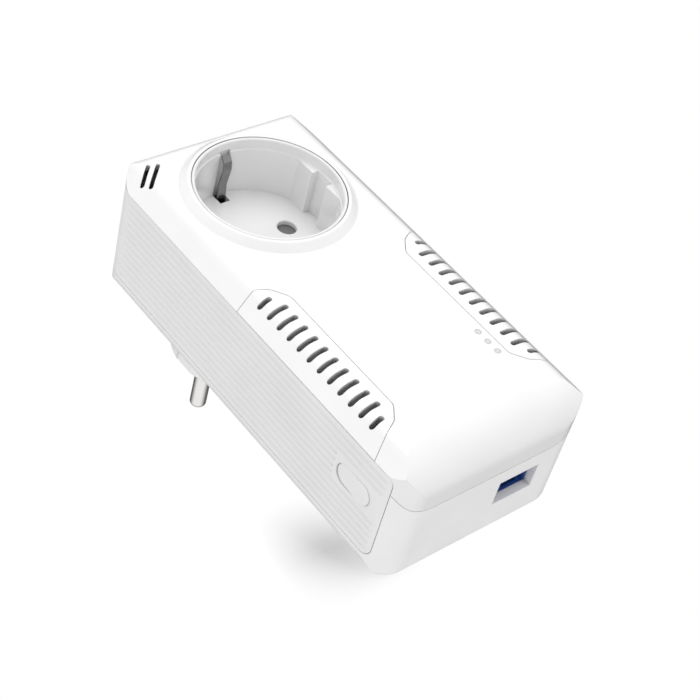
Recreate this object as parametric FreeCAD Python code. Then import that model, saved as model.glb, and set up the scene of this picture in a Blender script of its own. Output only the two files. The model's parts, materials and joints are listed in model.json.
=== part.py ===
import FreeCAD, Part
import math
import os

# Pass-through powerline adapter, millimetres.
# Frame: origin on the plug axis at the rear face, +Z up (socket end), the front faces -Y, the pins point +Y.

# ---- driving dimensions: housing ----
half_width = 31.0
top_z = 27.0
bottom_z = -96.0
depth = 38.6
top_corner_radius = 10.0
bottom_corner_radius = 8.0
rear_rounding = 2.0
rear_side_rounding = 5.5
wall = 2.0
shoulder_x = 25.8
shoulder_drop = 4.6
shoulder_rounding = 5.0
top_rounding = 4.0
bottom_rounding = 10.0
seam_y = -23.4
seam_side_y = -29.6
seam_gap = 0.08
lip_height = 1.5
lip_play = 0.1

# ---- socket ----
recess_radius = 19.5
recess_depth = 17.5
mouth_radius = 19.8
mouth_chamfer = 0.3
rim_proud = 1.9
cup_wall = 1.2
cup_floor = 1.5
pin_offset = 9.5
pin_hole_radius = 2.7
pin_hole_chamfer = 0.25
flat_x = 17.2
flat_start = 3.4
guide_groove_half = 3.0
collar_top_radius = 21.7
collar_slope = 1.1
collar_groove = 0.15
clip_width = 2.6
clip_gap_z = 17.5
clip_height = 13.8
clip_slot_head = 1.1
clip_slot_half = 1.6

# ---- plug ----
boss_radius = 18.5
boss_length = 18.5
pin_radius = 2.4
pin_length = 19.0
shank_radius = 2.2
pin_tip_rounding = 1.0
boss_neck_radius = 18.25
plug_groove_depth = 0.9
boss_flange_radius = 22.0
earth_hole_z = 10.0
earth_hole_radius = 2.6

# ---- side panels, vents, slots ----
panel_thickness = 1.2
panel_front_y = -34.0
panel_rear_y = -5.9
panel_top_z = 25.0
panel_bottom_z = -91.0
panel_gap = 0.12
rib_count = 13
rib_top_z = 22.0
groove_share = 0.5
groove_depth = 0.3
vent_inner_x = 18.9
vent_gap = 0.1
slot_count = 12
slot_pitch = 4.02
slot_first_z = -32.9
slot_inner_x = 22.3
slot_outer_x = 27.0
short_slot_inner_x = 24.4
slot_width = 1.5
corner_slot_width = 1.1

# ---- button, jack, lamps ----
button_y = -21.8
button_z = -80.2
button_length = 12.4
button_width = 6.2
button_proud = 0.55
button_lean = 0.9
button_play = 0.06
window_play = 0.1
button_travel_gap = 0.05
jack_x = 11.0
jack_half = 7.7
jack_length = 21.0
jack_rear_y = -8.0
port_width = 13.2
port_front_y = -18.7
port_rear_y = -10.7
lamp_x = 16.7
lamp_first_z = -65.8
lamp_pitch = 3.76

# ---- boards ----
board_thickness = 1.6
main_board_y = -19.8
power_board_y = -3.0
screw_spots = [(25.4, 4.0), (-25.4, 4.0), (22.6, -89.6), (-22.6, -89.6)]
post_radius = 2.8
thin_post_radius = 2.6
thread_radius = 1.1
screw_seat_y = -11.0
screw_head_y = -8.95
board_screw_spots = [(-9.0, -84.0), (0.0, -36.0)]
standoff_spots = [(22.5, -31.0), (-22.5, -31.0), (22.5, -64.0), (-22.5, -64.0)]
cup_screw_spots = [(x, z) for x in (-16.8, 16.8) for z in (-16.8, 16.8)]
transformer_x = -6.5

# ---- derived ----
front_y = -depth
rim_y = front_y - rim_proud
shoulder_y = front_y + shoulder_drop
recess_floor_y = rim_y + recess_depth
cup_back_y = recess_floor_y + cup_floor
cup_radius = recess_radius + cup_wall
boss_end_y = boss_length
pin_tip_y = boss_length + pin_length
pin_step_y = boss_length + 0.1
flange_front_y = -wall - 1.8
shutter_front_y = cup_back_y + 0.1
shutter_thickness = 1.8
wing_half_deg = 19.5
shutter_turn_deg = 40.0
shutter_back_y = shutter_front_y + shutter_thickness
main_front_y = main_board_y - board_thickness
power_front_y = power_board_y - board_thickness
run_gap = 0.06
jack_front_z = bottom_z + wall + 0.4
jack_back_z = jack_front_z + jack_length
switch_y = main_front_y - 1.7
lamp_heights = [lamp_first_z - index * lamp_pitch for index in range(3)]


def vec(x, y, z):
    return FreeCAD.Vector(x, y, z)


def block(x0, x1, y0, y1, z0, z1):
    return Part.makeBox(x1 - x0, y1 - y0, z1 - z0, vec(x0, y0, z0))


def rod_y(radius, x, z, y0, y1):
    return Part.makeCylinder(radius, y1 - y0, vec(x, y0, z), vec(0, 1, 0))


def rod_x(radius, y, z, x0, x1):
    return Part.makeCylinder(radius, x1 - x0, vec(x0, y, z), vec(1, 0, 0))


def rod_z(radius, x, y, z0, z1):
    return Part.makeCylinder(radius, z1 - z0, vec(x, y, z0), vec(0, 0, 1))


def cone_y(r0, r1, x, z, y0, y1):
    return Part.makeCone(r0, r1, y1 - y0, vec(x, y0, z), vec(0, 1, 0))


def joined(shapes):
    whole = shapes[0]
    if len(shapes) > 1:
        whole = shapes[0].fuse(shapes[1:])
    return whole.removeSplitter()


def rounded_wire(corners, place):
    # corners are (a, b, radius); each corner with a radius becomes a tangent arc
    pieces = []
    count = len(corners)
    for index in range(count):
        a, b, radius = corners[index]
        before = corners[index - 1]
        after = corners[(index + 1) % count]
        here = vec(a, b, 0)
        if radius <= 0:
            pieces.append((here, None, here))
            continue
        to_before = vec(before[0] - a, before[1] - b, 0).normalize()
        to_after = vec(after[0] - a, after[1] - b, 0).normalize()
        half = to_before.getAngle(to_after) / 2
        reach = radius / math.tan(half)
        inward = (to_before + to_after).normalize()
        middle = here + inward * (radius / math.sin(half) - radius)
        pieces.append((here + to_before * reach, middle, here + to_after * reach))
    edges = []
    for index in range(count):
        start, middle, end = pieces[index]
        if middle is not None:
            edges.append(Part.Arc(place(start), place(middle), place(end)).toShape())
        following = pieces[(index + 1) % count][0]
        if (following - end).Length > 1e-6:
            edges.append(Part.makeLine(place(end), place(following)))
    return Part.Wire(edges)


def prism_xz(corners, y0, y1):
    wire = rounded_wire(corners, lambda p: vec(p.x, y0, p.y))
    return Part.Face(wire).extrude(vec(0, y1 - y0, 0))


def prism_xy(corners, z0, z1):
    wire = rounded_wire(corners, lambda p: vec(p.x, p.y, z0))
    return Part.Face(wire).extrude(vec(0, 0, z1 - z0))


def prism_yz(corners, x0, x1):
    wire = rounded_wire(corners, lambda p: vec(x0, p.x, p.y))
    return Part.Face(wire).extrude(vec(x1 - x0, 0, 0))


def rectangle(a0, a1, b0, b1, radius):
    return [(a0, b0, radius), (a1, b0, radius), (a1, b1, radius), (a0, b1, radius)]


def stadium_y(x0, z0, x1, z1, width, y0, y1):
    # slot with round ends between two centres, cut along Y
    radius = width / 2
    along = vec(x1 - x0, 0, z1 - z0)
    across = vec(-along.z, 0, along.x).normalize() * radius
    p = [vec(x0, y0, z0) + across, vec(x1, y0, z1) + across]
    q = [vec(x1, y0, z1) - across, vec(x0, y0, z0) - across]
    face = Part.Face(Part.makePolygon([p[0], p[1], q[0], q[1], p[0]]))
    ends = [rod_y(radius, x0, z0, y0, y1), rod_y(radius, x1, z1, y0, y1)]
    return joined([face.extrude(vec(0, y1 - y0, 0))] + ends)


def stadium_x(length, width, x0, x1):
    # button outline: long axis along Z, cut along X
    radius = width / 2
    reach = length / 2 - radius
    core = block(x0, x1, button_y - radius, button_y + radius, button_z - reach, button_z + reach)
    low = rod_x(radius, button_y, button_z - reach, x0, x1)
    high = rod_x(radius, button_y, button_z + reach, x0, x1)
    return joined([core, low, high])


def mirrored(shape):
    return shape.mirror(vec(0, 0, 0), vec(1, 0, 0))


def body_solid(inset):
    # outer form of the closed housing, shrunk by the inset on every side
    hw = half_width - inset
    low = bottom_z + inset
    high = top_z - inset
    front = front_y + inset
    round_low = bottom_corner_radius - inset
    round_high = top_corner_radius - inset
    plan = prism_xz([
        (-hw, low, round_low), (hw, low, round_low), (hw, high, round_high), (-hw, high, round_high),
    ], front, -inset)
    rear_edges = [e for e in plan.Edges if all(abs(v.Y + inset) < 1e-6 for v in e.Vertexes)]
    plan = plan.makeFillet(max(rear_rounding - inset, 0.4), rear_edges)
    slope = math.atan2(shoulder_drop, half_width - shoulder_x)
    sine = math.sin(slope)
    cosine = math.cos(slope)
    reach = sine * half_width - cosine * shoulder_y - inset
    side_y = (sine * hw - reach) / cosine
    face_x = (reach + cosine * front) / sine
    soft = shoulder_rounding - inset
    rear_soft = rear_side_rounding - inset
    side = prism_xy([
        (-hw, -inset, rear_soft), (-hw, side_y, 0), (-face_x, front, soft),
        (face_x, front, soft), (hw, side_y, 0), (hw, -inset, rear_soft),
    ], low - 1, high + 1)
    ends = prism_yz([
        (1, low, 0), (front, low, bottom_rounding - inset), (front, high, top_rounding - inset), (1, high, 0),
    ], -hw - 1, hw + 1)
    return plan.common(side).common(ends)


def rear_region(shift):
    # everything behind the parting surface, moved towards the front by the shift
    far = half_width + 5
    flat = seam_y - shift
    side = seam_side_y - shift
    return prism_xy([
        (-far, 5, 0), (-far, side, 0), (-half_width, side, 0), (-27.5, flat - 2.2, 8),
        (-20.5, flat, 12), (20.5, flat, 12), (27.5, flat - 2.2, 8), (half_width, side, 0),
        (far, side, 0), (far, 5, 0),
    ], bottom_z - 5, top_z + 5)


def panel_region(grow, x0, x1):
    low = panel_bottom_z - grow
    high = panel_top_z + grow
    rear = panel_rear_y + grow
    soft = 2.5 + grow
    return prism_yz([
        (panel_front_y, low, soft), (rear, low, soft), (rear, high, soft), (panel_front_y, high, 0.3),
    ], x0, x1)


def vent_region(grow, y0, y1):
    # outline of the right grille in the XZ plane, wider than the housing on its outer side
    inner = vent_inner_x - grow
    far = half_width + 2
    return prism_xz([
        (far, -29.9 + grow, 0), (shoulder_x, -28.4 + grow, 0), (inner + 3.2, -30.2 + grow, 3),
        (inner, -34.4 + grow, 3), (inner, -75.2 - grow, 3), (inner + 3.2, -79.3 - grow, 3),
        (shoulder_x, -81.2 - grow, 0), (far, -85.4 - grow, 0),
    ], y0, y1)


def vent_slots():
    slots = []
    for index in range(slot_count):
        z = slot_first_z - index * slot_pitch
        start_x = slot_inner_x
        if index == 0 or index == slot_count - 1:
            start_x = short_slot_inner_x
        slots.append(stadium_y(start_x, z, slot_outer_x, z - 0.3, slot_width, front_y - 1, front_y + 9))
    return slots


def corner_slots():
    # two slanting slots beside the socket, at the left top corner only
    return [
        stadium_y(-27.8, 17.6, -23.4, 21.9, corner_slot_width, front_y - 1, front_y + 7),
        stadium_y(-26.7, 15.4, -20.8, 21.2, corner_slot_width, front_y - 1, front_y + 7),
    ]


outer = body_solid(0.0)
inner = body_solid(wall)


def front_cover():
    shell = outer.cut(rear_region(seam_gap))
    collar = cone_y(collar_top_radius, collar_top_radius + 4.0 * collar_slope, 0, 0, rim_y, rim_y + 4.0)
    crest = [e for e in collar.Edges if abs(e.CenterOfMass.y - rim_y) < 1e-6]
    collar = collar.makeFillet(0.5, crest)
    collar = collar.common(block(-40, 40, -60, 0, bottom_z, top_z - 0.05))
    shell = shell.fuse(collar).cut(inner)
    rebate = body_solid(wall / 2 - lip_play / 2).common(rear_region(lip_height + 0.2))
    shell = shell.cut(rebate)
    foot_y = front_y + wall / 2
    posts = []
    cuts = [rod_y(cup_radius + run_gap, 0, 0, rim_y - 1, cup_back_y + 1)]
    cuts.append(rod_y(cup_radius + collar_groove, 0, 0, rim_y - 1, rim_y + 0.8))
    for x, z in screw_spots:
        posts.append(rod_y(post_radius, x, z, foot_y, screw_seat_y - 0.1))
        cuts.append(rod_y(1.5, x, z, -24, screw_seat_y))
    for x, z in board_screw_spots:
        posts.append(rod_y(thin_post_radius, x, z, foot_y, main_front_y))
        cuts.append(rod_y(thread_radius, x, z, main_front_y - 7, main_front_y + 1))
    for x, z in cup_screw_spots:
        posts.append(rod_y(thin_post_radius, x, z, foot_y, cup_back_y - 0.05))
        cuts.append(rod_y(thread_radius, x, z, cup_back_y - 7, cup_back_y + 1))
    posts = [post.common(body_solid(wall / 2)) for post in posts]
    shell = joined([shell] + posts)
    cuts.extend(vent_opening())
    cuts.extend(corner_slots())
    for z in lamp_heights:
        cuts.append(rod_y(0.85, lamp_x, z, front_y - 1, front_y + 4))
    cuts.extend(panel_recess())
    return shell.cut(cuts).removeSplitter()


def vent_opening():
    right = vent_region(0.0, front_y - 1, panel_front_y)
    return [right, mirrored(right)]


def panel_recess():
    band = outer.cut(body_solid(panel_thickness + 0.05))
    right = band.common(panel_region(panel_gap, half_width - 5, half_width + 1))
    return [right, mirrored(right)]


def right_vent_grille():
    band = outer.cut(inner)
    insert = band.common(vent_region(-vent_gap, front_y - 1, panel_front_y - 0.05))
    flange_band = inner.cut(body_solid(wall + 0.9))
    flange = flange_band.common(vent_region(0.9, front_y - 1, panel_front_y - 0.6))
    return joined([insert, flange]).cut(vent_slots()).removeSplitter()


def left_vent_grille():
    return mirrored(right_vent_grille())


def side_panel(has_button):
    skin = outer.cut(body_solid(panel_thickness))
    panel = skin.common(panel_region(0.0, half_width - 5, half_width + 1))
    pitch = (panel_rear_y - panel_front_y) / rib_count
    half_groove = pitch * groove_share / 2
    round_radius = (half_groove ** 2 + groove_depth ** 2) / (2 * groove_depth)
    axis_x = half_width - groove_depth + round_radius
    grooves = []
    for index in range(rib_count - 1):
        y = panel_front_y + (index + 1) * pitch
        low = panel_bottom_z - 1
        if has_button and abs(y - button_y) < button_width / 2 + 0.8:
            low = button_z + button_length / 2 + 1.2
        grooves.append(rod_z(round_radius, axis_x, y, low, rib_top_z))
    return panel.cut(grooves)


def right_side_panel():
    return side_panel(False)


def left_side_panel():
    panel = mirrored(side_panel(True))
    play = 2 * window_play
    window = stadium_x(button_length + play, button_width + play, -half_width - 1, -half_width + 4)
    return panel.cut(window)


def rear_cover():
    shell = outer.common(rear_region(0.0)).cut(inner)
    lip = body_solid(wall / 2 + lip_play / 2).cut(inner)
    lip = lip.common(rear_region(lip_height)).cut(rear_region(0.0))
    shell = joined([shell, lip])
    extras = []
    cuts = [rod_y(boss_radius + run_gap, 0, 0, -6, 1)]
    for x, z in screw_spots:
        extras.append(rod_y(post_radius + 0.6, x, z, screw_seat_y, -1).common(body_solid(wall / 2)))
        cuts.append(rod_y(2.9, x, z, screw_head_y - 0.05, 1))
        cuts.append(rod_y(1.7, x, z, screw_seat_y - 1, 1))
    for x, z in standoff_spots:
        extras.append(rod_y(2.2, x, z, power_board_y, -1))
    extras.append(stadium_x(button_length + 2.2, button_width + 2.2, -half_width + 1.5, -half_width + 4.2))
    half_port = port_width / 2 + 1.2
    extras.append(block(jack_x - half_port, jack_x + half_port, port_front_y - 1.2, port_rear_y + 1.2,
                        bottom_z + 1, jack_front_z - 0.05))
    shell = joined([shell] + extras)
    play = 2 * button_play
    cuts.append(stadium_x(button_length + play, button_width + play, -half_width - 1, -half_width + 5))
    cuts.append(block(jack_x - port_width / 2, jack_x + port_width / 2, port_front_y, port_rear_y,
                      bottom_z - 1, jack_front_z))
    cuts.append(label_shape(0.1, 0.25))
    cuts.extend(panel_recess())
    return shell.cut(cuts).removeSplitter()


def label_shape(grow, thickness):
    return prism_xz(rectangle(-20 - grow, 20 + grow, -84 - grow, -40 + grow, 2 + grow), -thickness, 0.5)


def rating_label():
    return label_shape(0.0, 0.25).common(block(-40, 40, -0.25, -0.05, -96, 0))


def earth_openings():
    # slots in the recess wall and floor for the sprung earth clips
    front = recess_floor_y - clip_height - clip_slot_head
    low = block(-clip_slot_half, clip_slot_half, front, cup_back_y + 2, -20.3, -15.7)
    high = block(-clip_slot_half, clip_slot_half, front, cup_back_y + 2, 15.7, 20.3)
    return [low, high]


def socket_cup():
    cup = rod_y(cup_radius, 0, 0, rim_y, cup_back_y)
    lip = [e for e in cup.Edges if abs(e.CenterOfMass.y - rim_y) < 1e-6]
    cup = cup.makeFillet(0.4, lip)
    hollow = rod_y(recess_radius, 0, 0, rim_y - 1, recess_floor_y)
    keep = []
    for side in (-1, 1):
        flat = block(flat_x, 25, rim_y + flat_start, recess_floor_y + 1, -12, 12)
        groove = block(0, 30, rim_y, recess_floor_y + 2, -guide_groove_half, guide_groove_half)
        segment = flat.cut(groove).common(hollow)
        keep.append(segment if side > 0 else mirrored(segment))
    cup = cup.cut(hollow.cut(keep))
    # the mouth is slightly wider than the recess below it, with a chamfer at the rim and a short cone
    mouth_front_y = rim_y + mouth_chamfer
    mouth_rear_y = rim_y + flat_start - 0.3
    mouth = joined([
        cone_y(mouth_radius + mouth_chamfer, mouth_radius, 0, 0, rim_y, mouth_front_y),
        rod_y(mouth_radius, 0, 0, mouth_front_y, mouth_rear_y),
        cone_y(mouth_radius, recess_radius, 0, 0, mouth_rear_y, rim_y + flat_start),
    ])
    cup = cup.cut(mouth)
    wings = []
    for x, z in cup_screw_spots:
        wings.append(rod_y(thin_post_radius, x, z, cup_back_y, cup_back_y + 1.5))
        arm = block(min(0, x), max(0, x), cup_back_y, cup_back_y + 1.5, z - 1.6, z + 1.6)
        wings.append(arm.cut(rod_y(17.2, 0, 0, -60, 0)))
    stud = rod_y(1.5, 0, 0, cup_back_y - 0.5, -17.6)
    stops = []
    for side in (-1, 1):
        angle = math.radians(wing_half_deg + shutter_turn_deg + 6.0)
        x = side * 10 * math.cos(angle)
        z = -side * 10 * math.sin(angle)
        stops.append(rod_y(0.9, x, z, cup_back_y - 0.5, shutter_back_y))
    cup = joined([cup, stud] + wings + stops)
    cuts = []
    for side in (-1, 1):
        cuts.append(rod_y(pin_hole_radius, side * pin_offset, 0, recess_floor_y - 1, cup_back_y + 1))
        cuts.append(cone_y(pin_hole_radius + pin_hole_chamfer, pin_hole_radius, side * pin_offset, 0,
                           recess_floor_y, recess_floor_y + pin_hole_chamfer))
    for x, z in cup_screw_spots:
        cuts.append(rod_y(1.35, x, z, cup_back_y - 1, cup_back_y + 3))
    cuts.extend(earth_openings())
    return cup.cut(cuts).removeSplitter()


def small_screw(x, z, seat_y, length):
    # pan head behind the seat, shank towards the front
    head = rod_y(2.2, x, z, seat_y, seat_y + 1.6)
    shank = rod_y(1.05, x, z, seat_y - length, seat_y + 0.1)
    drive = rod_y(0.9, x, z, seat_y + 0.7, seat_y + 2)
    return joined([head, shank]).cut(drive)


def socket_screws():
    return Part.makeCompound([small_screw(x, z, cup_back_y + 1.5, 7.0) for x, z in cup_screw_spots])


def socket_shutter():
    # hub with two wings that cover the pin holes; turns about the socket axis
    wing_half = math.radians(wing_half_deg)
    wing_radius = 13.2
    hub = rod_y(5.0, 0, 0, shutter_front_y, shutter_back_y)
    wings = []
    for side in (0, math.pi):
        points = []
        for angle in (side - wing_half, side, side + wing_half):
            points.append(vec(wing_radius * math.cos(angle), shutter_front_y, wing_radius * math.sin(angle)))
        arc = Part.Arc(points[0], points[1], points[2]).toShape()
        centre = vec(0, shutter_front_y, 0)
        outline = Part.Wire([Part.makeLine(centre, points[0]), arc, Part.makeLine(points[2], centre)])
        wings.append(Part.Face(outline).extrude(vec(0, shutter_thickness, 0)))
    peg = rod_y(0.5, 0, 3.9, shutter_back_y - 0.5, shutter_back_y + 0.9)
    return joined([hub, peg] + wings).cut(rod_y(1.5 + run_gap, 0, 0, -30, -10)).removeSplitter()


def shutter_spring():
    # two turns around the stud, one leg on the shutter's peg side, one leg free
    wire = 0.18
    radius = 2.35
    path = Part.makeHelix(0.42, 0.84, radius)
    path.rotate(vec(0, 0, 0), vec(1, 0, 0), -90)
    path.translate(vec(0, shutter_back_y + 0.25, 0))
    start = path.Vertexes[0].Point
    circle = Part.Wire([Part.makeCircle(wire, start, vec(0, 0, 1))])
    coil = Part.Wire(path.Edges).makePipeShell([circle], True, True)
    return coil


def strip_yz(points, thickness, x0, x1):
    # bent metal strip: centre line in the YZ plane as (y, z, bend radius)
    half = thickness / 2
    left = []
    right = []
    last = len(points) - 1
    for index, (y, z, bend) in enumerate(points):
        here = vec(y, z, 0)
        before = vec(*points[max(index - 1, 0)][:2], 0)
        after = vec(*points[min(index + 1, last)][:2], 0)
        arriving = here - before if index > 0 else after - here
        leaving = after - here if index < last else arriving
        normal_in = vec(-arriving.y, arriving.x, 0).normalize()
        normal_out = vec(-leaving.y, leaving.x, 0).normalize()
        miter = (normal_in + normal_out).normalize()
        scale = half / miter.dot(normal_in)
        turn = half if arriving.cross(leaving).z > 0 else -half
        left.append((y + miter.x * scale, z + miter.y * scale, max(bend - turn, 0)))
        right.append((y - miter.x * scale, z - miter.y * scale, max(bend + turn, 0) if bend else 0))
    return prism_yz(left + right[::-1], x0, x1)


def earth_clips():
    # one sprung bracket: two arms stand in slots of the recess wall, the bridge passes behind the shutter
    half = clip_width / 2
    bridge_y = -16.8
    foot_z = 17.7
    top_y = recess_floor_y - clip_height
    arm = [
        (top_y, 19.2, 0), (top_y + 1.8, clip_gap_z + 0.4, 2.0), (top_y + 4.0, clip_gap_z, 3.0),
        (top_y + 9.5, 18.3, 5.0), (recess_floor_y, foot_z, 3.0), (bridge_y, foot_z, 0.8),
    ]
    line = arm + [(y, -z, bend) for y, z, bend in reversed(arm)]
    return strip_yz(line, 0.5, -half, half)


def mains_contact(side):
    # two sprung leaves that grip a pin, on a foot that is riveted to the plug pin
    x = side * pin_offset
    leaves = []
    for hand in (-1, 1):
        inner_x = x + hand * (pin_radius + 0.15)
        outer_x = inner_x + hand * 0.6
        leaves.append(block(min(inner_x, outer_x), max(inner_x, outer_x), -17.2, flange_front_y, -3, 3))
    foot = block(x - 3.15, x + 3.15, flange_front_y - 0.6, flange_front_y, -8.5, 3)
    hole = rod_y(1.6, x, 0, flange_front_y - 2, flange_front_y + 1)
    return joined(leaves + [foot]).cut(hole)


def line_contact():
    return mains_contact(-1)


def neutral_contact():
    return mains_contact(1)


def plug_pin(side):
    # thinner shank inside the boss, full size outside it, rivet head at the contact
    x = side * pin_offset
    body = rod_y(pin_radius, x, 0, pin_step_y, pin_tip_y)
    tip = [e for e in body.Edges if abs(e.CenterOfMass.y - pin_tip_y) < 1e-6]
    body = body.makeFillet(pin_tip_rounding, tip)
    shank = rod_y(shank_radius, x, 0, flange_front_y, pin_step_y + 0.1)
    rivet = rod_y(1.55, x, 0, flange_front_y - 0.9, flange_front_y + 0.1)
    return joined([body, shank, rivet])


def line_pin():
    return plug_pin(-1)


def neutral_pin():
    return plug_pin(1)


def plug_boss():
    tube = rod_y(boss_radius, 0, 0, 0, boss_end_y)
    nose = [e for e in tube.Edges if abs(e.CenterOfMass.y - boss_end_y) < 1e-6]
    tube = tube.makeFillet(1.4, nose)
    neck = rod_y(boss_neck_radius, 0, 0, -wall - 0.1, 0.1)
    flange = rod_y(boss_flange_radius, 0, 0, flange_front_y, -wall)
    hollow = rod_y(boss_radius - 3.2, 0, 0, -wall + 0.2, boss_end_y - 3.0)
    sleeves = [rod_y(4.2, side * pin_offset, 0, flange_front_y, boss_end_y - 1) for side in (-1, 1)]
    sleeves.append(rod_y(4.2, 0, earth_hole_z, 3.0, boss_end_y - 1))
    boss = joined([joined([tube, neck, flange]).cut(hollow)] + sleeves)
    cuts = [rod_y(shank_radius, side * pin_offset, 0, -10, 30) for side in (-1, 1)]
    cuts.append(rod_y(2.9, 0, earth_hole_z, 2, 14.5))
    cuts.append(rod_y(earth_hole_radius, 0, earth_hole_z, 2, 20))
    cuts.append(rod_y(1.55, 0, 0, -10, 4))
    guide = block(boss_radius - plug_groove_depth, boss_radius, 0, 20, -guide_groove_half, guide_groove_half)
    strip_groove = block(-2.6, 2.6, 0, 20, boss_radius - 0.9, boss_radius)
    strip_slot = block(-2.6, 2.6, 2.4, 3.4, 14, boss_radius)
    for angle in (0, 180):
        for cut in (guide, strip_groove, strip_slot):
            turned = cut.copy()
            turned.rotate(vec(0, 0, 0), vec(0, 1, 0), angle)
            cuts.append(turned)
    cuts.append(block(-2.6, 2.6, 2.4, 3.4, -14.5, 14.5))
    return boss.cut(cuts).removeSplitter()


def plug_earth_strip():
    # brass strip along both sides of the boss, joined across its base
    end_y = boss_end_y - 1.5
    line = [(end_y, 17.95, 0), (2.9, 17.95, 0), (2.9, -17.95, 0), (end_y, -17.95, 0)]
    strip = strip_yz(line, 0.6, -2.5, 2.5)
    return strip.cut(rod_y(1.25, 0, 0, 0, 5))


def earth_sleeve():
    return rod_y(2.85, 0, earth_hole_z, 3.25, 14.4).cut(rod_y(2.42, 0, earth_hole_z, 3.8, 20))


def earth_post():
    body = rod_y(1.5, 0, 0, -16.45, 2.55)
    pin = rod_y(1.2, 0, 0, 2.4, 3.9)
    return joined([body, pin])


def cover_screws():
    screws = []
    for x, z in screw_spots:
        head_top = screw_head_y + 2.05
        head = rod_y(2.7, x, z, screw_head_y, head_top)
        dome = [e for e in head.Edges if abs(e.CenterOfMass.y - head_top) < 1e-6]
        head = head.makeFillet(0.6, dome)
        shank = rod_y(1.45, x, z, -22, screw_head_y + 0.1)
        screw = joined([head, shank])
        for turn in (0, 120, 240):
            lobe = block(-0.3, 0.3, head_top - 1, head_top + 0.4, 0, 1.3)
            lobe.rotate(vec(0, 0, 0), vec(0, 1, 0), turn)
            lobe.translate(vec(x, 0, z))
            screw = screw.cut(lobe)
        screws.append(screw)
    return Part.makeCompound(screws)


def main_board():
    board = prism_xz([
        (-26.5, -92.4, 7.5), (26.5, -92.4, 7.5), (26.5, -30, 1.5), (-26.5, -30, 1.5),
    ], main_front_y, main_board_y)
    reach = button_length / 2 + 2.0
    cuts = [block(-30, -23.2, -30, -10, button_z - reach, button_z + reach)]
    cuts += [rod_y(post_radius + 0.8, x, z, -30, -10) for x, z in screw_spots]
    cuts += [rod_y(1.4, x, z, -30, -10) for x, z in board_screw_spots]
    return board.cut(cuts)


def board_screws():
    return Part.makeCompound([small_screw(x, z, main_board_y, 6.6) for x, z in board_screw_spots])


def power_board():
    board = prism_xz(rectangle(-26.5, 26.5, -68, -27, 1.5), power_front_y, power_board_y)
    cuts = [rod_y(1.1, x, z, -10, 0) for x, z in standoff_spots]
    return board.cut(cuts)


def rj45_housing():
    body = block(jack_x - jack_half, jack_x + jack_half, main_board_y, jack_rear_y, jack_front_z, jack_back_z)
    port = block(jack_x - 5.95, jack_x + 5.95, port_front_y + 1.3, port_rear_y - 0.2,
                 jack_front_z - 1, jack_front_z + 14)
    latch = block(jack_x - 3.1, jack_x + 3.1, port_front_y + 0.1, port_front_y + 1.4,
                  jack_front_z - 1, jack_front_z + 11)
    bed = block(jack_x - 4.3, jack_x + 4.3, port_rear_y - 0.3, port_rear_y + 0.9,
                jack_front_z + 0.8, jack_front_z + 16)
    return body.cut([port, latch, bed])


def rj45_contacts():
    wires = []
    for index in range(8):
        x = jack_x + (index - 3.5) * 1.02
        bed_y = port_rear_y + 0.6
        line = [
            (bed_y, jack_front_z + 15.5, 0), (bed_y, jack_front_z + 1.6, 0.4),
            (bed_y - 3.4, jack_front_z + 9.5, 0),
        ]
        wires.append(strip_yz(line, 0.3, x - 0.17, x + 0.17))
    return Part.makeCompound(wires)


def rj45_shield():
    grow = 0.25
    can = block(jack_x - jack_half - grow, jack_x + jack_half + grow, main_board_y, jack_rear_y + grow,
                jack_front_z, jack_back_z + grow)
    core = block(jack_x - jack_half, jack_x + jack_half, main_board_y - 1, jack_rear_y,
                 jack_front_z - 1, jack_back_z)
    return can.cut(core)


def status_leds():
    front = main_front_y - 0.7
    return Part.makeCompound([
        block(lamp_x - 0.8, lamp_x + 0.8, front, main_front_y, z - 0.5, z + 0.5) for z in lamp_heights
    ])


def light_guide():
    pieces = []
    for z in lamp_heights:
        pieces.append(rod_y(0.78, lamp_x, z, front_y, front_y + 3))
        pieces.append(rod_y(1.15, lamp_x, z, front_y + wall + 0.1, main_front_y - 1.2))
    bar = block(lamp_x - 0.8, lamp_x + 0.8, front_y + 5, front_y + 6.6, lamp_heights[-1], lamp_heights[0])
    return joined(pieces + [bar])


def pair_button():
    outer_x = -half_width - button_proud
    cap = stadium_x(button_length, button_width, outer_x, -half_width + 4.4)
    # the finger face leans: its lower end stands out, its upper end is sunk
    low = button_z - button_length / 2
    high = button_z + button_length / 2
    wedge = prism_xz([
        (outer_x - 1, low, 0), (outer_x, low, 0), (outer_x + button_lean, high, 0),
        (outer_x + button_lean, high + 1, 0), (outer_x - 1, high + 1, 0),
    ], button_y - button_width, button_y + button_width)
    cap = cap.cut(wedge)
    face_edges = []
    for face in cap.Faces:
        if face.CenterOfMass.x < -half_width + 1 and abs(face.normalAt(0, 0).x) > 0.9:
            face_edges.extend(face.Edges)
    cap = cap.makeFillet(0.3, face_edges)
    flange = stadium_x(button_length + 1.6, button_width + 1.6, -half_width + 4.2 + button_travel_gap,
                       -half_width + 5.2)
    stem = rod_x(1.4, switch_y, button_z, -half_width + 5.1, -24.3)
    return joined([cap, flange, stem])


def switch_body():
    body = block(-22.9, -17.6, switch_y - 1.7, main_front_y, button_z - 3.1, button_z + 3.1)
    return body.cut(rod_x(0.9 + 0.05, switch_y, button_z, -30, -20.6))


def switch_plunger():
    return rod_x(0.9, switch_y, button_z, -24.25, -21.5)


def main_chip():
    return block(-7, 7, main_front_y - 1.2, main_front_y, -63, -49)


def heat_sink():
    base = block(-12, 12, main_front_y - 3.2, main_front_y - 1.2, -68, -44)
    fins = []
    for index in range(7):
        x = -12 + index * (24 - 1.2) / 6
        fins.append(block(x, x + 1.2, main_front_y - 9.5, main_front_y - 3.1, -68, -44))
    return joined([base] + fins)


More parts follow.
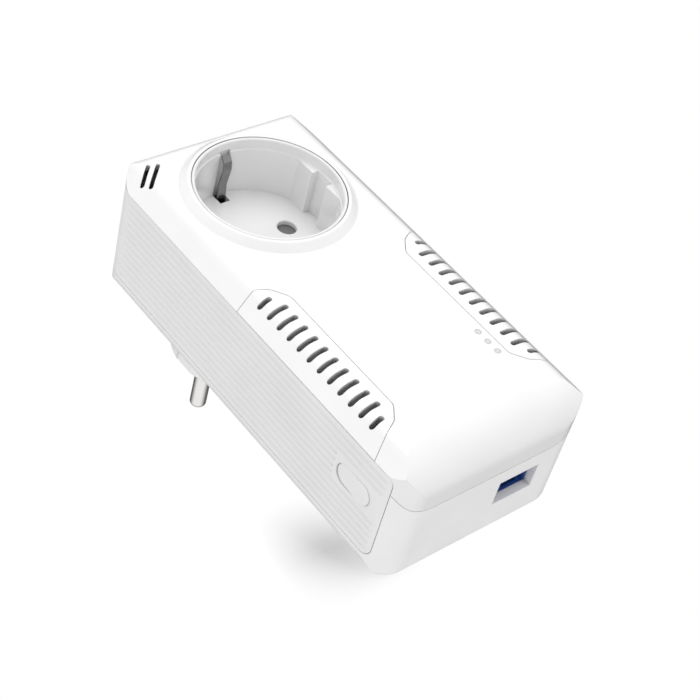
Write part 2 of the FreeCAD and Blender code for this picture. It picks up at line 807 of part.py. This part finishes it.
def coupling_transformer():
    body = prism_xz(rectangle(-22, -12, -56, -44, 1), main_board_y, main_board_y + 1.6)
    core = prism_xz(rectangle(-21, -13, -55, -45, 2), main_board_y + 1.5, main_board_y + 4.6)
    return joined([body, core])


def network_transformer():
    return block(3, 19, main_board_y, main_board_y + 4.6, -70, -61)


def transformer_core():
    x = transformer_x
    frame = block(x - 8, x + 8, power_front_y - 8.9, power_front_y - 2.0, -58, -42)
    window = block(x - 4.5, x + 4.5, -30, 0, -54.5, -45.5)
    leg = block(x - 2, x + 2, power_front_y - 8.9, power_front_y - 2.0, -54.6, -45.4)
    return joined([frame.cut(window), leg])


def transformer_winding():
    x = transformer_x
    coil = block(x - 4.45, x + 4.45, power_front_y - 8.0, power_front_y - 1.9, -54.4, -45.6)
    coil = coil.cut(block(x - 2.05, x + 2.05, -30, 0, -60, -40))
    plate = block(x - 8, x + 8, power_front_y - 1.95, power_front_y, -58, -42)
    return joined([coil, plate])


def bulk_capacitors():
    cans = []
    for x in (8.5, 17.5):
        can = rod_z(4.0, x, power_front_y - 4.2, -62, -49)
        rim = [e for e in can.Edges if abs(e.CenterOfMass.z + 49) < 1e-6]
        cans.append(can.makeFillet(0.6, rim))
    return Part.makeCompound(cans)


def film_capacitor():
    case = block(5, 18, power_front_y - 9.0, power_front_y, -44, -38)
    edges = [e for e in case.Edges if abs(e.CenterOfMass.y - power_front_y + 9.0) < 1e-6]
    return case.makeFillet(0.5, edges)


def fuse():
    y = power_front_y - 2.0
    z = -31
    return joined([rod_x(1.7, y, z, -12, 0), rod_x(1.95, y, z, -12.4, -9.6), rod_x(1.95, y, z, -2.4, 0.4)])


def varistor():
    disc = rod_x(4.5, power_front_y - 4.8, -34.5, 20.2, 23.6)
    rims = [e for e in disc.Edges if len(e.Vertexes) == 1]
    return disc.makeFillet(0.9, rims)


def line_choke():
    ring = Part.makeTorus(3.6, 1.9, vec(-21.2, power_front_y - 1.9, -50), vec(0, 1, 0))
    return ring.common(block(-29, -10, -30, power_front_y, -60, -40))


def board_header():
    low_y = main_board_y
    pins = []
    for index in range(4):
        x = -8 + index * 2.54
        pins.append(block(x - 0.3, x + 0.3, low_y, power_front_y, -65.3, -64.7))
    base = block(-10, 1.6, power_front_y - 2.5, power_front_y, -66.2, -63.8)
    return joined([base] + pins)


def insulation_sheet():
    return block(-25, 25, main_board_y + 4.6, main_board_y + 5.0, -63, -30)


def line_wire():
    # insulated lead from the contact foot down to the power board
    side = -1
    x = side * pin_offset
    start_z = -7.2
    y_contact = flange_front_y - 0.6
    path = Part.BSplineCurve()
    points = [
        vec(x, y_contact - 0.9, start_z), vec(x, y_contact - 2.4, start_z - 4.5),
        vec(x + side * 4, y_contact - 3.6, start_z - 12), vec(x + side * 8, power_front_y - 2.4, -25),
        vec(x + side * 8, power_front_y - 0.9, -28.4),
    ]
    path.interpolate(points)
    spine = Part.Wire([path.toShape()])
    direction = path.tangent(path.FirstParameter)[0]
    ring = Part.Wire([Part.makeCircle(0.85, points[0], direction)])
    return spine.makePipeShell([ring], True, True)


def neutral_wire():
    return mirrored(line_wire())


nodes = {
    "front_cover": front_cover,
    "rear_cover": rear_cover,
    "left_side_panel": left_side_panel,
    "right_side_panel": right_side_panel,
    "right_vent_grille": right_vent_grille,
    "left_vent_grille": left_vent_grille,
    "socket_cup": socket_cup,
    "socket_screws": socket_screws,
    "socket_shutter": socket_shutter,
    "shutter_spring": shutter_spring,
    "earth_clips": earth_clips,
    "line_contact": line_contact,
    "neutral_contact": neutral_contact,
    "line_pin": line_pin,
    "neutral_pin": neutral_pin,
    "plug_boss": plug_boss,
    "plug_earth_strip": plug_earth_strip,
    "earth_sleeve": earth_sleeve,
    "earth_post": earth_post,
    "cover_screws": cover_screws,
    "main_board": main_board,
    "board_screws": board_screws,
    "power_board": power_board,
    "rj45_housing": rj45_housing,
    "rj45_contacts": rj45_contacts,
    "rj45_shield": rj45_shield,
    "status_leds": status_leds,
    "light_guide": light_guide,
    "pair_button": pair_button,
    "switch_body": switch_body,
    "switch_plunger": switch_plunger,
    "main_chip": main_chip,
    "heat_sink": heat_sink,
    "coupling_transformer": coupling_transformer,
    "network_transformer": network_transformer,
    "transformer_core": transformer_core,
    "transformer_winding": transformer_winding,
    "bulk_capacitors": bulk_capacitors,
    "film_capacitor": film_capacitor,
    "fuse": fuse,
    "varistor": varistor,
    "line_choke": line_choke,
    "board_header": board_header,
    "insulation_sheet": insulation_sheet,
    "line_wire": line_wire,
    "neutral_wire": neutral_wire,
    "rating_label": rating_label,
}

os.makedirs("parts", exist_ok=True)
for name, build in nodes.items():
    shape = build()
    shape.exportStep(os.path.join("parts", name + ".step"))
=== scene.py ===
import json
import math

import bpy
from mathutils import Matrix, Vector


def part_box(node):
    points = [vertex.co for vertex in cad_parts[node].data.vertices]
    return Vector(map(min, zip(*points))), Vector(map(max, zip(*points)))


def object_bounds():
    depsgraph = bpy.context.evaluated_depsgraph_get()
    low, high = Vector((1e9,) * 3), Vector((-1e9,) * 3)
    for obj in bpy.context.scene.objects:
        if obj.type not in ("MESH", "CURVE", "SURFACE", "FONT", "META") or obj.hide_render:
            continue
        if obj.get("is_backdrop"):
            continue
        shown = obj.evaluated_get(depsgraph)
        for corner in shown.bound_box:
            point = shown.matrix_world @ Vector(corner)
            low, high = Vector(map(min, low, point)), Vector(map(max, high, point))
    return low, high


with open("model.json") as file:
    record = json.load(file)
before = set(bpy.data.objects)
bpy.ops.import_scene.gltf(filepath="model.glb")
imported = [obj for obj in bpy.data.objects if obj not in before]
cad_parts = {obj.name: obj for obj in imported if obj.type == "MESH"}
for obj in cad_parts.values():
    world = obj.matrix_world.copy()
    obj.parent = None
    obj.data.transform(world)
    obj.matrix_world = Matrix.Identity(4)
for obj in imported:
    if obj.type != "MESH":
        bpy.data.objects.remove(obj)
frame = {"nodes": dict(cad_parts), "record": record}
cad_low, cad_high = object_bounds()
nodes = frame["nodes"]
scene = bpy.context.scene

MM = 0.001

# ---- camera: place in metres and axes, in the part's own frame ----
CAMERA_PLACE = Vector((-0.24134, -0.31214, -0.24466))
CAMERA_RIGHT = Vector((0.7651, -0.2067, -0.6099))
CAMERA_DOWN = Vector((-0.3189, 0.7012, -0.6377))
CAMERA_VIEW = Vector((0.5594, 0.6824, 0.4705))
LENS_MM = 85.98
SENSOR_MM = 36.0
NEAREST_SEEN = 10 * MM

# ---- light ----
WORLD_LIGHT = 0.90
# reflections see a sky that is dark behind the part and bright on the camera's side;
# the span is in cosines to the direction of the camera
MIRROR_SPAN = (-0.75, -0.05)
MIRROR_LEVELS = (0.12, 1.0)
# disk light: metres from the part's centre, metres across, watts
KEY_OFFSET = Vector((0.12, -0.94, 0.33))
KEY_SIZE = 0.7
KEY_POWER = 3.2

# ---- surfaces: noise scales per metre, lengths in millimetres ----
CLOUD_SCALE = 70.0
CLOUD_SHADE = 0.965
GLOSS_SCALE = 260.0
GLOSS_SWING = 0.12
RUB_SCALE = 900.0
RUB_GAIN = 1.03
RUB_LIFT = 0.006
COAT_ROUGH = 0.08
LINE_SCALE = 900.0
TARNISH_SCALE = 180.0
SCRATCH_DEPTH = 0.004
METAL_EDGE = 0.10
METAL_EDGE_GAIN = 1.12
METAL_EDGE_SHARE = 0.6
# softened against plain normal, as cosines: a full edge, and flat ground
EDGE_COSINES = (0.75, 0.995)
# painted shade, darkening the colour where nearby surfaces close in: in the shell's slots, seams and
# inside (shell), in the rib grooves (rib) and on the socket recess walls (recess); reach, darkest level,
# and the open shares where that is reached and where it ends
SHELL_PAINTED_SHADE = (9 * MM, 0.06, 0.12, 0.52)
RIB_PAINTED_SHADE = (1.2 * MM, 0.78, 0.55, 0.95)
RECESS_PAINTED_SHADE = (5 * MM, 0.4, 0.05, 0.35)

# ---- circuit board ----
MASK_GREENS = ((0.010, 0.085, 0.035, 1), (0.014, 0.115, 0.048, 1))
TRACK_GREEN = (0.035, 0.22, 0.085, 1)
WEAVE_SCALE = 2600.0
WEAVE_SHARE = 0.15
TRACK_SCALE = 140.0
TRACK_WIDTH = 0.045
TRACK_SHIFT = 0.37
BOARD_RELIEF = 0.02

# ---- floor and the painted soft shadow beside the lower left side of the lying adapter ----
FLOOR_HALF = 3.0
FLOOR_GAP = 0.3 * MM
# the rounded rear edge of the jack end touches the floor here
HEEL_Y = -0.4 * MM
PAPER_SCALE = 40.0
PAPER_SHARE = 0.01
SHADOW_REACH = 17 * MM
SHADOW_TONE = 0.38
SHADOW_GAIN = 1.6
# from the heel along the part: comes in, goes out; across the part: full, gone
SHADOW_IN = (-2 * MM, 20 * MM)
SHADOW_OUT = (24 * MM, 58 * MM)
SHADOW_SIDE = (-30 * MM, -13 * MM)
# cosines to the main camera's direction: hidden, shown
SHADOW_SEEN = (0.85, 0.95)


# ---- node helpers ----
class Nodes:
    """A node tree under construction: adds nodes and links them by socket name or number."""

    def __init__(self, owner):
        owner.use_nodes = True
        self.tree = owner.node_tree
        self.tree.nodes.clear()

    def add(self, kind, settings=None, **inputs):
        node = self.tree.nodes.new(kind)
        for key, value in (settings or {}).items():
            setattr(node, key, value)
        for key, value in inputs.items():
            self.feed(node, key.replace("_", " "), value)
        return node

    def feed(self, node, key, value):
        socket = node.inputs[key]
        if isinstance(value, bpy.types.NodeSocket):
            self.tree.links.new(value, socket)
        else:
            socket.default_value = value

    def math(self, operation, a, b):
        node = self.add("ShaderNodeMath", {"operation": operation})
        self.feed(node, 0, a)
        self.feed(node, 1, b)
        return node.outputs[0]

    def dot(self, a, b):
        node = self.add("ShaderNodeVectorMath", {"operation": "DOT_PRODUCT"})
        self.feed(node, 0, a)
        self.feed(node, 1, b)
        return node.outputs["Value"]

    def span(self, value, low, high, start=0.3, end=0.7, kind="LINEAR"):
        """low up to start, high from end on, and a ramp between them."""
        node = self.add("ShaderNodeMapRange", {"interpolation_type": kind}, Value=value,
                        From_Min=start, From_Max=end, To_Min=low, To_Max=high)
        return node.outputs[0]

    def blend(self, share, a, b):
        """Shader a where the share is 0, shader b where it is 1."""
        node = self.add("ShaderNodeMixShader")
        self.feed(node, 0, share)
        self.feed(node, 1, a)
        self.feed(node, 2, b)
        return node.outputs[0]


class Recipe(Nodes):
    """A material under construction."""

    def __init__(self, name):
        self.material = bpy.data.materials.new(name)
        super().__init__(self.material)
        self.place = self.add("ShaderNodeTexCoord").outputs["Object"]

    def noise(self, scale, detail=2.0, stretch=(1, 1, 1)):
        place = self.place
        if stretch != (1, 1, 1):
            place = self.add("ShaderNodeMapping", Vector=place, Scale=stretch).outputs[0]
        return self.add("ShaderNodeTexNoise", Vector=place, Scale=scale, Detail=detail).outputs["Fac"]

    def mix(self, share, a, b):
        """Colour a where the share is 0, colour b where it is 1."""
        node = self.add("ShaderNodeMix", {"data_type": "RGBA"})
        self.feed(node, 0, share)
        self.feed(node, 6, a)
        self.feed(node, 7, b)
        return node.outputs[2]

    def edges(self, radius):
        """0 on flat ground, rising to 1 at an edge, and the softened normal."""
        soft = self.add("ShaderNodeBevel", {"samples": 4}, Radius=radius).outputs[0]
        plain = self.add("ShaderNodeNewGeometry").outputs["Normal"]
        return self.span(self.dot(soft, plain), 1.0, 0.0, *EDGE_COSINES), soft

    def openness(self, reach, samples):
        """1 in the open, less where surfaces within the reach close in."""
        node = self.add("ShaderNodeAmbientOcclusion", {"samples": samples}, Distance=reach)
        return node.outputs["AO"]

    def bump(self, height, depth, normal=None):
        node = self.add("ShaderNodeBump", Height=height, Distance=depth, Strength=1.0)
        if normal is not None:
            self.feed(node, "Normal", normal)
        return node.outputs[0]

    def output(self, shader):
        self.add("ShaderNodeOutputMaterial", Surface=shader)
        return self.material

    def surface(self, **inputs):
        return self.output(self.add("ShaderNodeBsdfPrincipled", **inputs).outputs[0])


# ---- materials ----
def grey(level):
    return (level, level, level, 1.0)


def scaled(colour, factor, lift=0.0):
    return [min(c * factor + lift, 1.0) for c in colour[:3]] + [1.0]


def moulded(name, colour, rough, grain=1500.0, depth=0.01, coat=0.0, soft=0.12, clear=0.0, painted_shade=None):
    """Moulded or coated surface: cloudy colour, uneven gloss, fine skin, rubbed edges, and, where asked,
    painted shade that darkens the colour in crevices.
    """
    r = Recipe(name)
    clouds = r.span(r.noise(CLOUD_SCALE, 3.0), 0.0, 1.0)
    edge, softened = r.edges(soft * MM)
    rubbed = r.math("MULTIPLY", edge, r.span(r.noise(RUB_SCALE, 4.0), 0.2, 1.0))
    base = r.mix(clouds, scaled(colour, CLOUD_SHADE), colour)
    base = r.mix(rubbed, base, scaled(colour, RUB_GAIN, RUB_LIFT))
    # painted shade: the colour is darkened towards black where nearby surfaces close in, in slots,
    # grooves, seams and hollows
    if painted_shade:
        reach, darkest, start, end = painted_shade
        lit = r.span(r.openness(reach, 12), darkest, 1.0, start, end)
        base = r.mix(lit, grey(0.0), base)
    gloss = r.span(r.noise(GLOSS_SCALE, 3.0), rough * (1 - GLOSS_SWING), rough * (1 + GLOSS_SWING))
    skin = r.bump(r.noise(grain), depth * MM, softened)
    return r.surface(Base_Color=base, Roughness=gloss, Normal=skin,
                     Coat_Weight=coat, Coat_Roughness=COAT_ROUGH, Transmission_Weight=clear)


def metal(name, colour, rough, stretch=(1, 1, 1), tarnish=0.10):
    """Drawn, plated or stamped metal: fine lines along one way, patchy tarnish, bright edges."""
    r = Recipe(name)
    lines = r.noise(LINE_SCALE, 3.0, stretch)
    patches = r.span(r.noise(TARNISH_SCALE, 4.0), 0.0, 1.0)
    edge, softened = r.edges(METAL_EDGE * MM)
    base = r.mix(patches, colour, scaled(colour, 1.0 - tarnish))
    base = r.mix(r.math("MULTIPLY", edge, METAL_EDGE_SHARE), base, scaled(colour, METAL_EDGE_GAIN))
    gloss = r.span(lines, rough * 0.75, rough * 1.3)
    scratches = r.bump(lines, SCRATCH_DEPTH * MM, softened)
    return r.surface(Base_Color=base, Roughness=gloss, Normal=scratches, Metallic=1.0)


def board_finish(name):
    """Solder-masked laminate: weave under green mask, with lighter lines where copper runs."""
    r = Recipe(name)
    weave = r.add("ShaderNodeTexChecker", Vector=r.place, Scale=WEAVE_SCALE).outputs["Fac"]
    upright = r.add("ShaderNodeMapping", Vector=r.place, Rotation=(math.radians(90), 0, 0)).outputs[0]
    cells = r.add("ShaderNodeTexBrick", {"offset": TRACK_SHIFT}, Vector=upright,
                  Scale=TRACK_SCALE, Mortar_Size=TRACK_WIDTH).outputs["Fac"]
    copper = r.math("MULTIPLY", cells, r.span(r.noise(90.0), 0.0, 1.0, 0.45, 0.5))
    mask = r.mix(r.span(r.noise(400.0), 0.0, 1.0), *MASK_GREENS)
    base = r.mix(copper, mask, TRACK_GREEN)
    height = r.math("ADD", r.math("MULTIPLY", weave, WEAVE_SHARE), copper)
    return r.surface(Base_Color=base, Roughness=r.span(r.noise(700.0), 0.25, 0.4),
                     Normal=r.bump(height, BOARD_RELIEF * MM), Coat_Weight=0.4)


def wound(name, colour, spacing, axis="Z"):
    """Turns of wire side by side, at the spacing in millimetres."""
    r = Recipe(name)
    bands = r.add("ShaderNodeTexWave", {"bands_direction": axis, "wave_profile": "SIN"}, Vector=r.place,
                  Scale=math.pi / (10 * spacing * MM), Distortion=0.3).outputs["Fac"]
    base = r.mix(r.span(bands, 0.0, 1.0, 0.1, 0.7), scaled(colour, 0.4), colour)
    return r.surface(Base_Color=base, Roughness=r.span(r.noise(500.0), 0.25, 0.45), Metallic=0.5,
                     Normal=r.bump(bands, 0.15 * MM))


MATERIALS = {
    # the white shells, ribbed side panels and socket recess carry painted shade in their crevices,
    # grooves and hollows
    "white_gloss": moulded("front_white", grey(0.88), 0.22, grain=900, depth=0.002, coat=0.25, soft=0.25,
                           painted_shade=SHELL_PAINTED_SHADE),
    "white_satin": moulded("rear_white", grey(0.91), 0.36, grain=2500, depth=0.006, soft=0.25,
                           painted_shade=SHELL_PAINTED_SHADE),
    "white_ribbed": moulded("panel_white", grey(0.865), 0.5, grain=3500, depth=0.012, soft=0.15,
                            painted_shade=RIB_PAINTED_SHADE),
    "recess_white": moulded("recess_white", grey(0.85), 0.20, grain=900, depth=0.002, coat=0.3, soft=0.2,
                            painted_shade=RECESS_PAINTED_SHADE),
    "shutter_grey": moulded("shutter_grey", grey(0.15), 0.45, grain=3000),
    # the clip steel is far darker than bright steel: painted shade standing in for the dark reflections
    # the earth clips show deep in the socket
    "spring_steel": metal("spring_steel", grey(0.26), 0.22, (1, 8, 1)),
    "nickel": metal("nickel_plate", (0.84, 0.83, 0.81, 1), 0.14, (9, 1, 9), tarnish=0.06),
    "brass": metal("brass_strip", (0.72, 0.52, 0.22, 1), 0.3, (1, 9, 1)),
    "screw_steel": metal("screw_zinc", (0.58, 0.58, 0.60, 1), 0.35),
    "board_green": board_finish("board_green"),
    "jack_blue": moulded("jack_blue", (0.022, 0.075, 0.30, 1), 0.35, grain=2500, depth=0.004),
    "gold": metal("contact_gold", (0.90, 0.66, 0.26, 1), 0.22, (1, 1, 8)),
    "shield_steel": metal("shield_tin", (0.66, 0.67, 0.68, 1), 0.28, (1, 6, 1)),
    "lamp": moulded("lamp_body", (0.85, 0.86, 0.70, 1), 0.15, clear=0.3),
    "light_guide": moulded("light_guide", grey(0.78), 0.25, clear=0.15),
    "button_white": moulded("button_white", grey(0.88), 0.42, grain=3000, depth=0.006, soft=0.2),
    "black_plastic": moulded("black_package", grey(0.025), 0.5, grain=3500, depth=0.012),
    "heat_sink": metal("heat_sink", (0.62, 0.63, 0.65, 1), 0.4, (1, 1, 0.1)),
    "ferrite": moulded("ferrite_core", grey(0.05), 0.6, grain=2500, depth=0.03),
    "winding": wound("tape_winding", (0.70, 0.50, 0.06, 1), 1.0),
    "can_sleeve": moulded("can_sleeve", (0.02, 0.03, 0.08, 1), 0.3, grain=900, depth=0.004),
    "film_yellow": moulded("film_case", (0.70, 0.50, 0.05, 1), 0.4, grain=2500, depth=0.008),
    "fuse_ceramic": moulded("fuse_ceramic", (0.80, 0.78, 0.70, 1), 0.3, depth=0.004),
    "varistor_blue": moulded("varistor_coat", (0.02, 0.08, 0.35, 1), 0.3, grain=600, depth=0.03),
    "copper": wound("choke_copper", (0.70, 0.30, 0.12, 1), 1.4, "X"),
    "sheet": moulded("insulating_film", (0.72, 0.70, 0.62, 1), 0.35, grain=800, depth=0.006, clear=0.2),
    "wire_brown": moulded("lead_brown", (0.13, 0.045, 0.02, 1), 0.4, depth=0.006),
    "wire_blue": moulded("lead_blue", (0.02, 0.08, 0.35, 1), 0.4, depth=0.006),
    "label": moulded("label_film", grey(0.66), 0.35, grain=3500, depth=0.004),
}
for part in frame["record"]["subparts"]:
    slots = nodes[part["node"]].data.materials
    slots.clear()
    slots.append(MATERIALS[part["material_slot"]])


# ---- floor: the adapter lies on its back, on its pin tips and the rear edge of its jack end ----
pin_low, pin_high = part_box("line_pin")
rear_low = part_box("rear_cover")[0]
tip = Vector((0.0, pin_high.y, pin_low.z))
heel = Vector((0.0, HEEL_Y, rear_low.z))
along = (tip - heel).normalized()
across = Vector((1.0, 0.0, 0.0))
up = across.cross(along)
middle = (tip + heel) / 2 - up * FLOOR_GAP
corners = []
for a, b in ((-1, -1), (1, -1), (1, 1), (-1, 1)):
    corners.append(middle + across * (a * FLOOR_HALF) + along * (b * FLOOR_HALF))
floor_mesh = bpy.data.meshes.new("floor")
floor_mesh.from_pydata([tuple(corner) for corner in corners], [], [(0, 1, 2, 3)])
floor = bpy.data.objects.new("floor", floor_mesh)
scene.collection.objects.link(floor)
floor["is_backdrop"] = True

# white paper that only the camera sees, and only from its upper side, with a soft shadow painted into its
# colour
r = Recipe("floor_paper_and_painted_shadow")
geometry = r.add("ShaderNodeNewGeometry").outputs
from_heel = r.math("SUBTRACT", r.dot(geometry["Position"], along), heel.dot(along))
sideways = r.add("ShaderNodeSeparateXYZ", Vector=geometry["Position"]).outputs["X"]
# the painted soft shadow belongs to the lying pose, so it shows only from near the main camera's
# direction
toward = r.dot(geometry["Incoming"], -CAMERA_VIEW)
shade = r.math("SUBTRACT", 1.0, r.openness(SHADOW_REACH, 24))
for value, low, high, limits in (
        (from_heel, 0.0, 1.0, SHADOW_IN), (from_heel, 1.0, 0.0, SHADOW_OUT),
        (sideways, 1.0, 0.0, SHADOW_SIDE), (toward, 0.0, 1.0, SHADOW_SEEN)):
    shade = r.math("MULTIPLY", shade, r.span(value, low, high, *limits))
# painted shadow: the paper's white is mixed towards grey where the part closes in near the floor
paper_and_painted_shadow = r.mix(r.math("MULTIPLY", shade, SHADOW_GAIN), grey(1.0), grey(SHADOW_TONE))
fibres = r.add("ShaderNodeTexNoise", Vector=r.place, Scale=PAPER_SCALE).outputs["Fac"]
paper_and_painted_shadow = r.mix(r.math("MULTIPLY", fibres, PAPER_SHARE), paper_and_painted_shadow, grey(0.9))
glow = r.add("ShaderNodeEmission", Color=paper_and_painted_shadow, Strength=1.0).outputs[0]
open_air = r.add("ShaderNodeBsdfTransparent").outputs[0]
by_camera = r.add("ShaderNodeLightPath").outputs["Is Camera Ray"]
from_above = r.math("SUBTRACT", 1.0, geometry["Backfacing"])
shown = r.math("MULTIPLY", by_camera, from_above)
floor_mesh.materials.append(r.output(r.blend(shown, open_air, glow)))
floor.visible_diffuse = False
floor.visible_glossy = False
floor.visible_transmission = False
floor.visible_shadow = False


# ---- light ----
key_data = bpy.data.lights.new("key", "AREA")
key_data.shape = "DISK"
key_data.size = KEY_SIZE
key_data.energy = KEY_POWER
key = bpy.data.objects.new("key", key_data)
key.location = (cad_low + cad_high) / 2 + KEY_OFFSET
key.rotation_mode = "QUATERNION"
key.rotation_quaternion = (-KEY_OFFSET).to_track_quat("-Z", "Y")
scene.collection.objects.link(key)

# the world lights the part evenly, looks white to the camera, and has a dark far side for reflections
world = bpy.data.worlds.new("studio")
scene.world = world
w = Nodes(world)
path = w.add("ShaderNodeLightPath").outputs
facing = w.dot(w.add("ShaderNodeTexCoord").outputs["Generated"], -CAMERA_VIEW)
mirror_level = w.span(facing, *MIRROR_LEVELS, *MIRROR_SPAN, kind="SMOOTHSTEP")
even, mirror, plain = [w.add("ShaderNodeBackground", Color=grey(1.0), Strength=level).outputs[0]
                       for level in (WORLD_LIGHT, mirror_level, 1.0)]
lit = w.blend(path["Is Glossy Ray"], even, mirror)
w.add("ShaderNodeOutputWorld", Surface=w.blend(path["Is Camera Ray"], lit, plain))
scene.view_settings.view_transform = "Standard"

# ---- camera ----
camera_data = bpy.data.cameras.new("camera")
camera_data.lens = LENS_MM
camera_data.sensor_width = SENSOR_MM
camera_data.clip_start = NEAREST_SEEN
camera = bpy.data.objects.new("camera", camera_data)
scene.collection.objects.link(camera)
turn = Matrix((CAMERA_RIGHT, -CAMERA_DOWN, -CAMERA_VIEW)).transposed()
camera.matrix_world = Matrix.Translation(CAMERA_PLACE) @ turn.to_4x4()
scene.camera = camera

low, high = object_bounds()
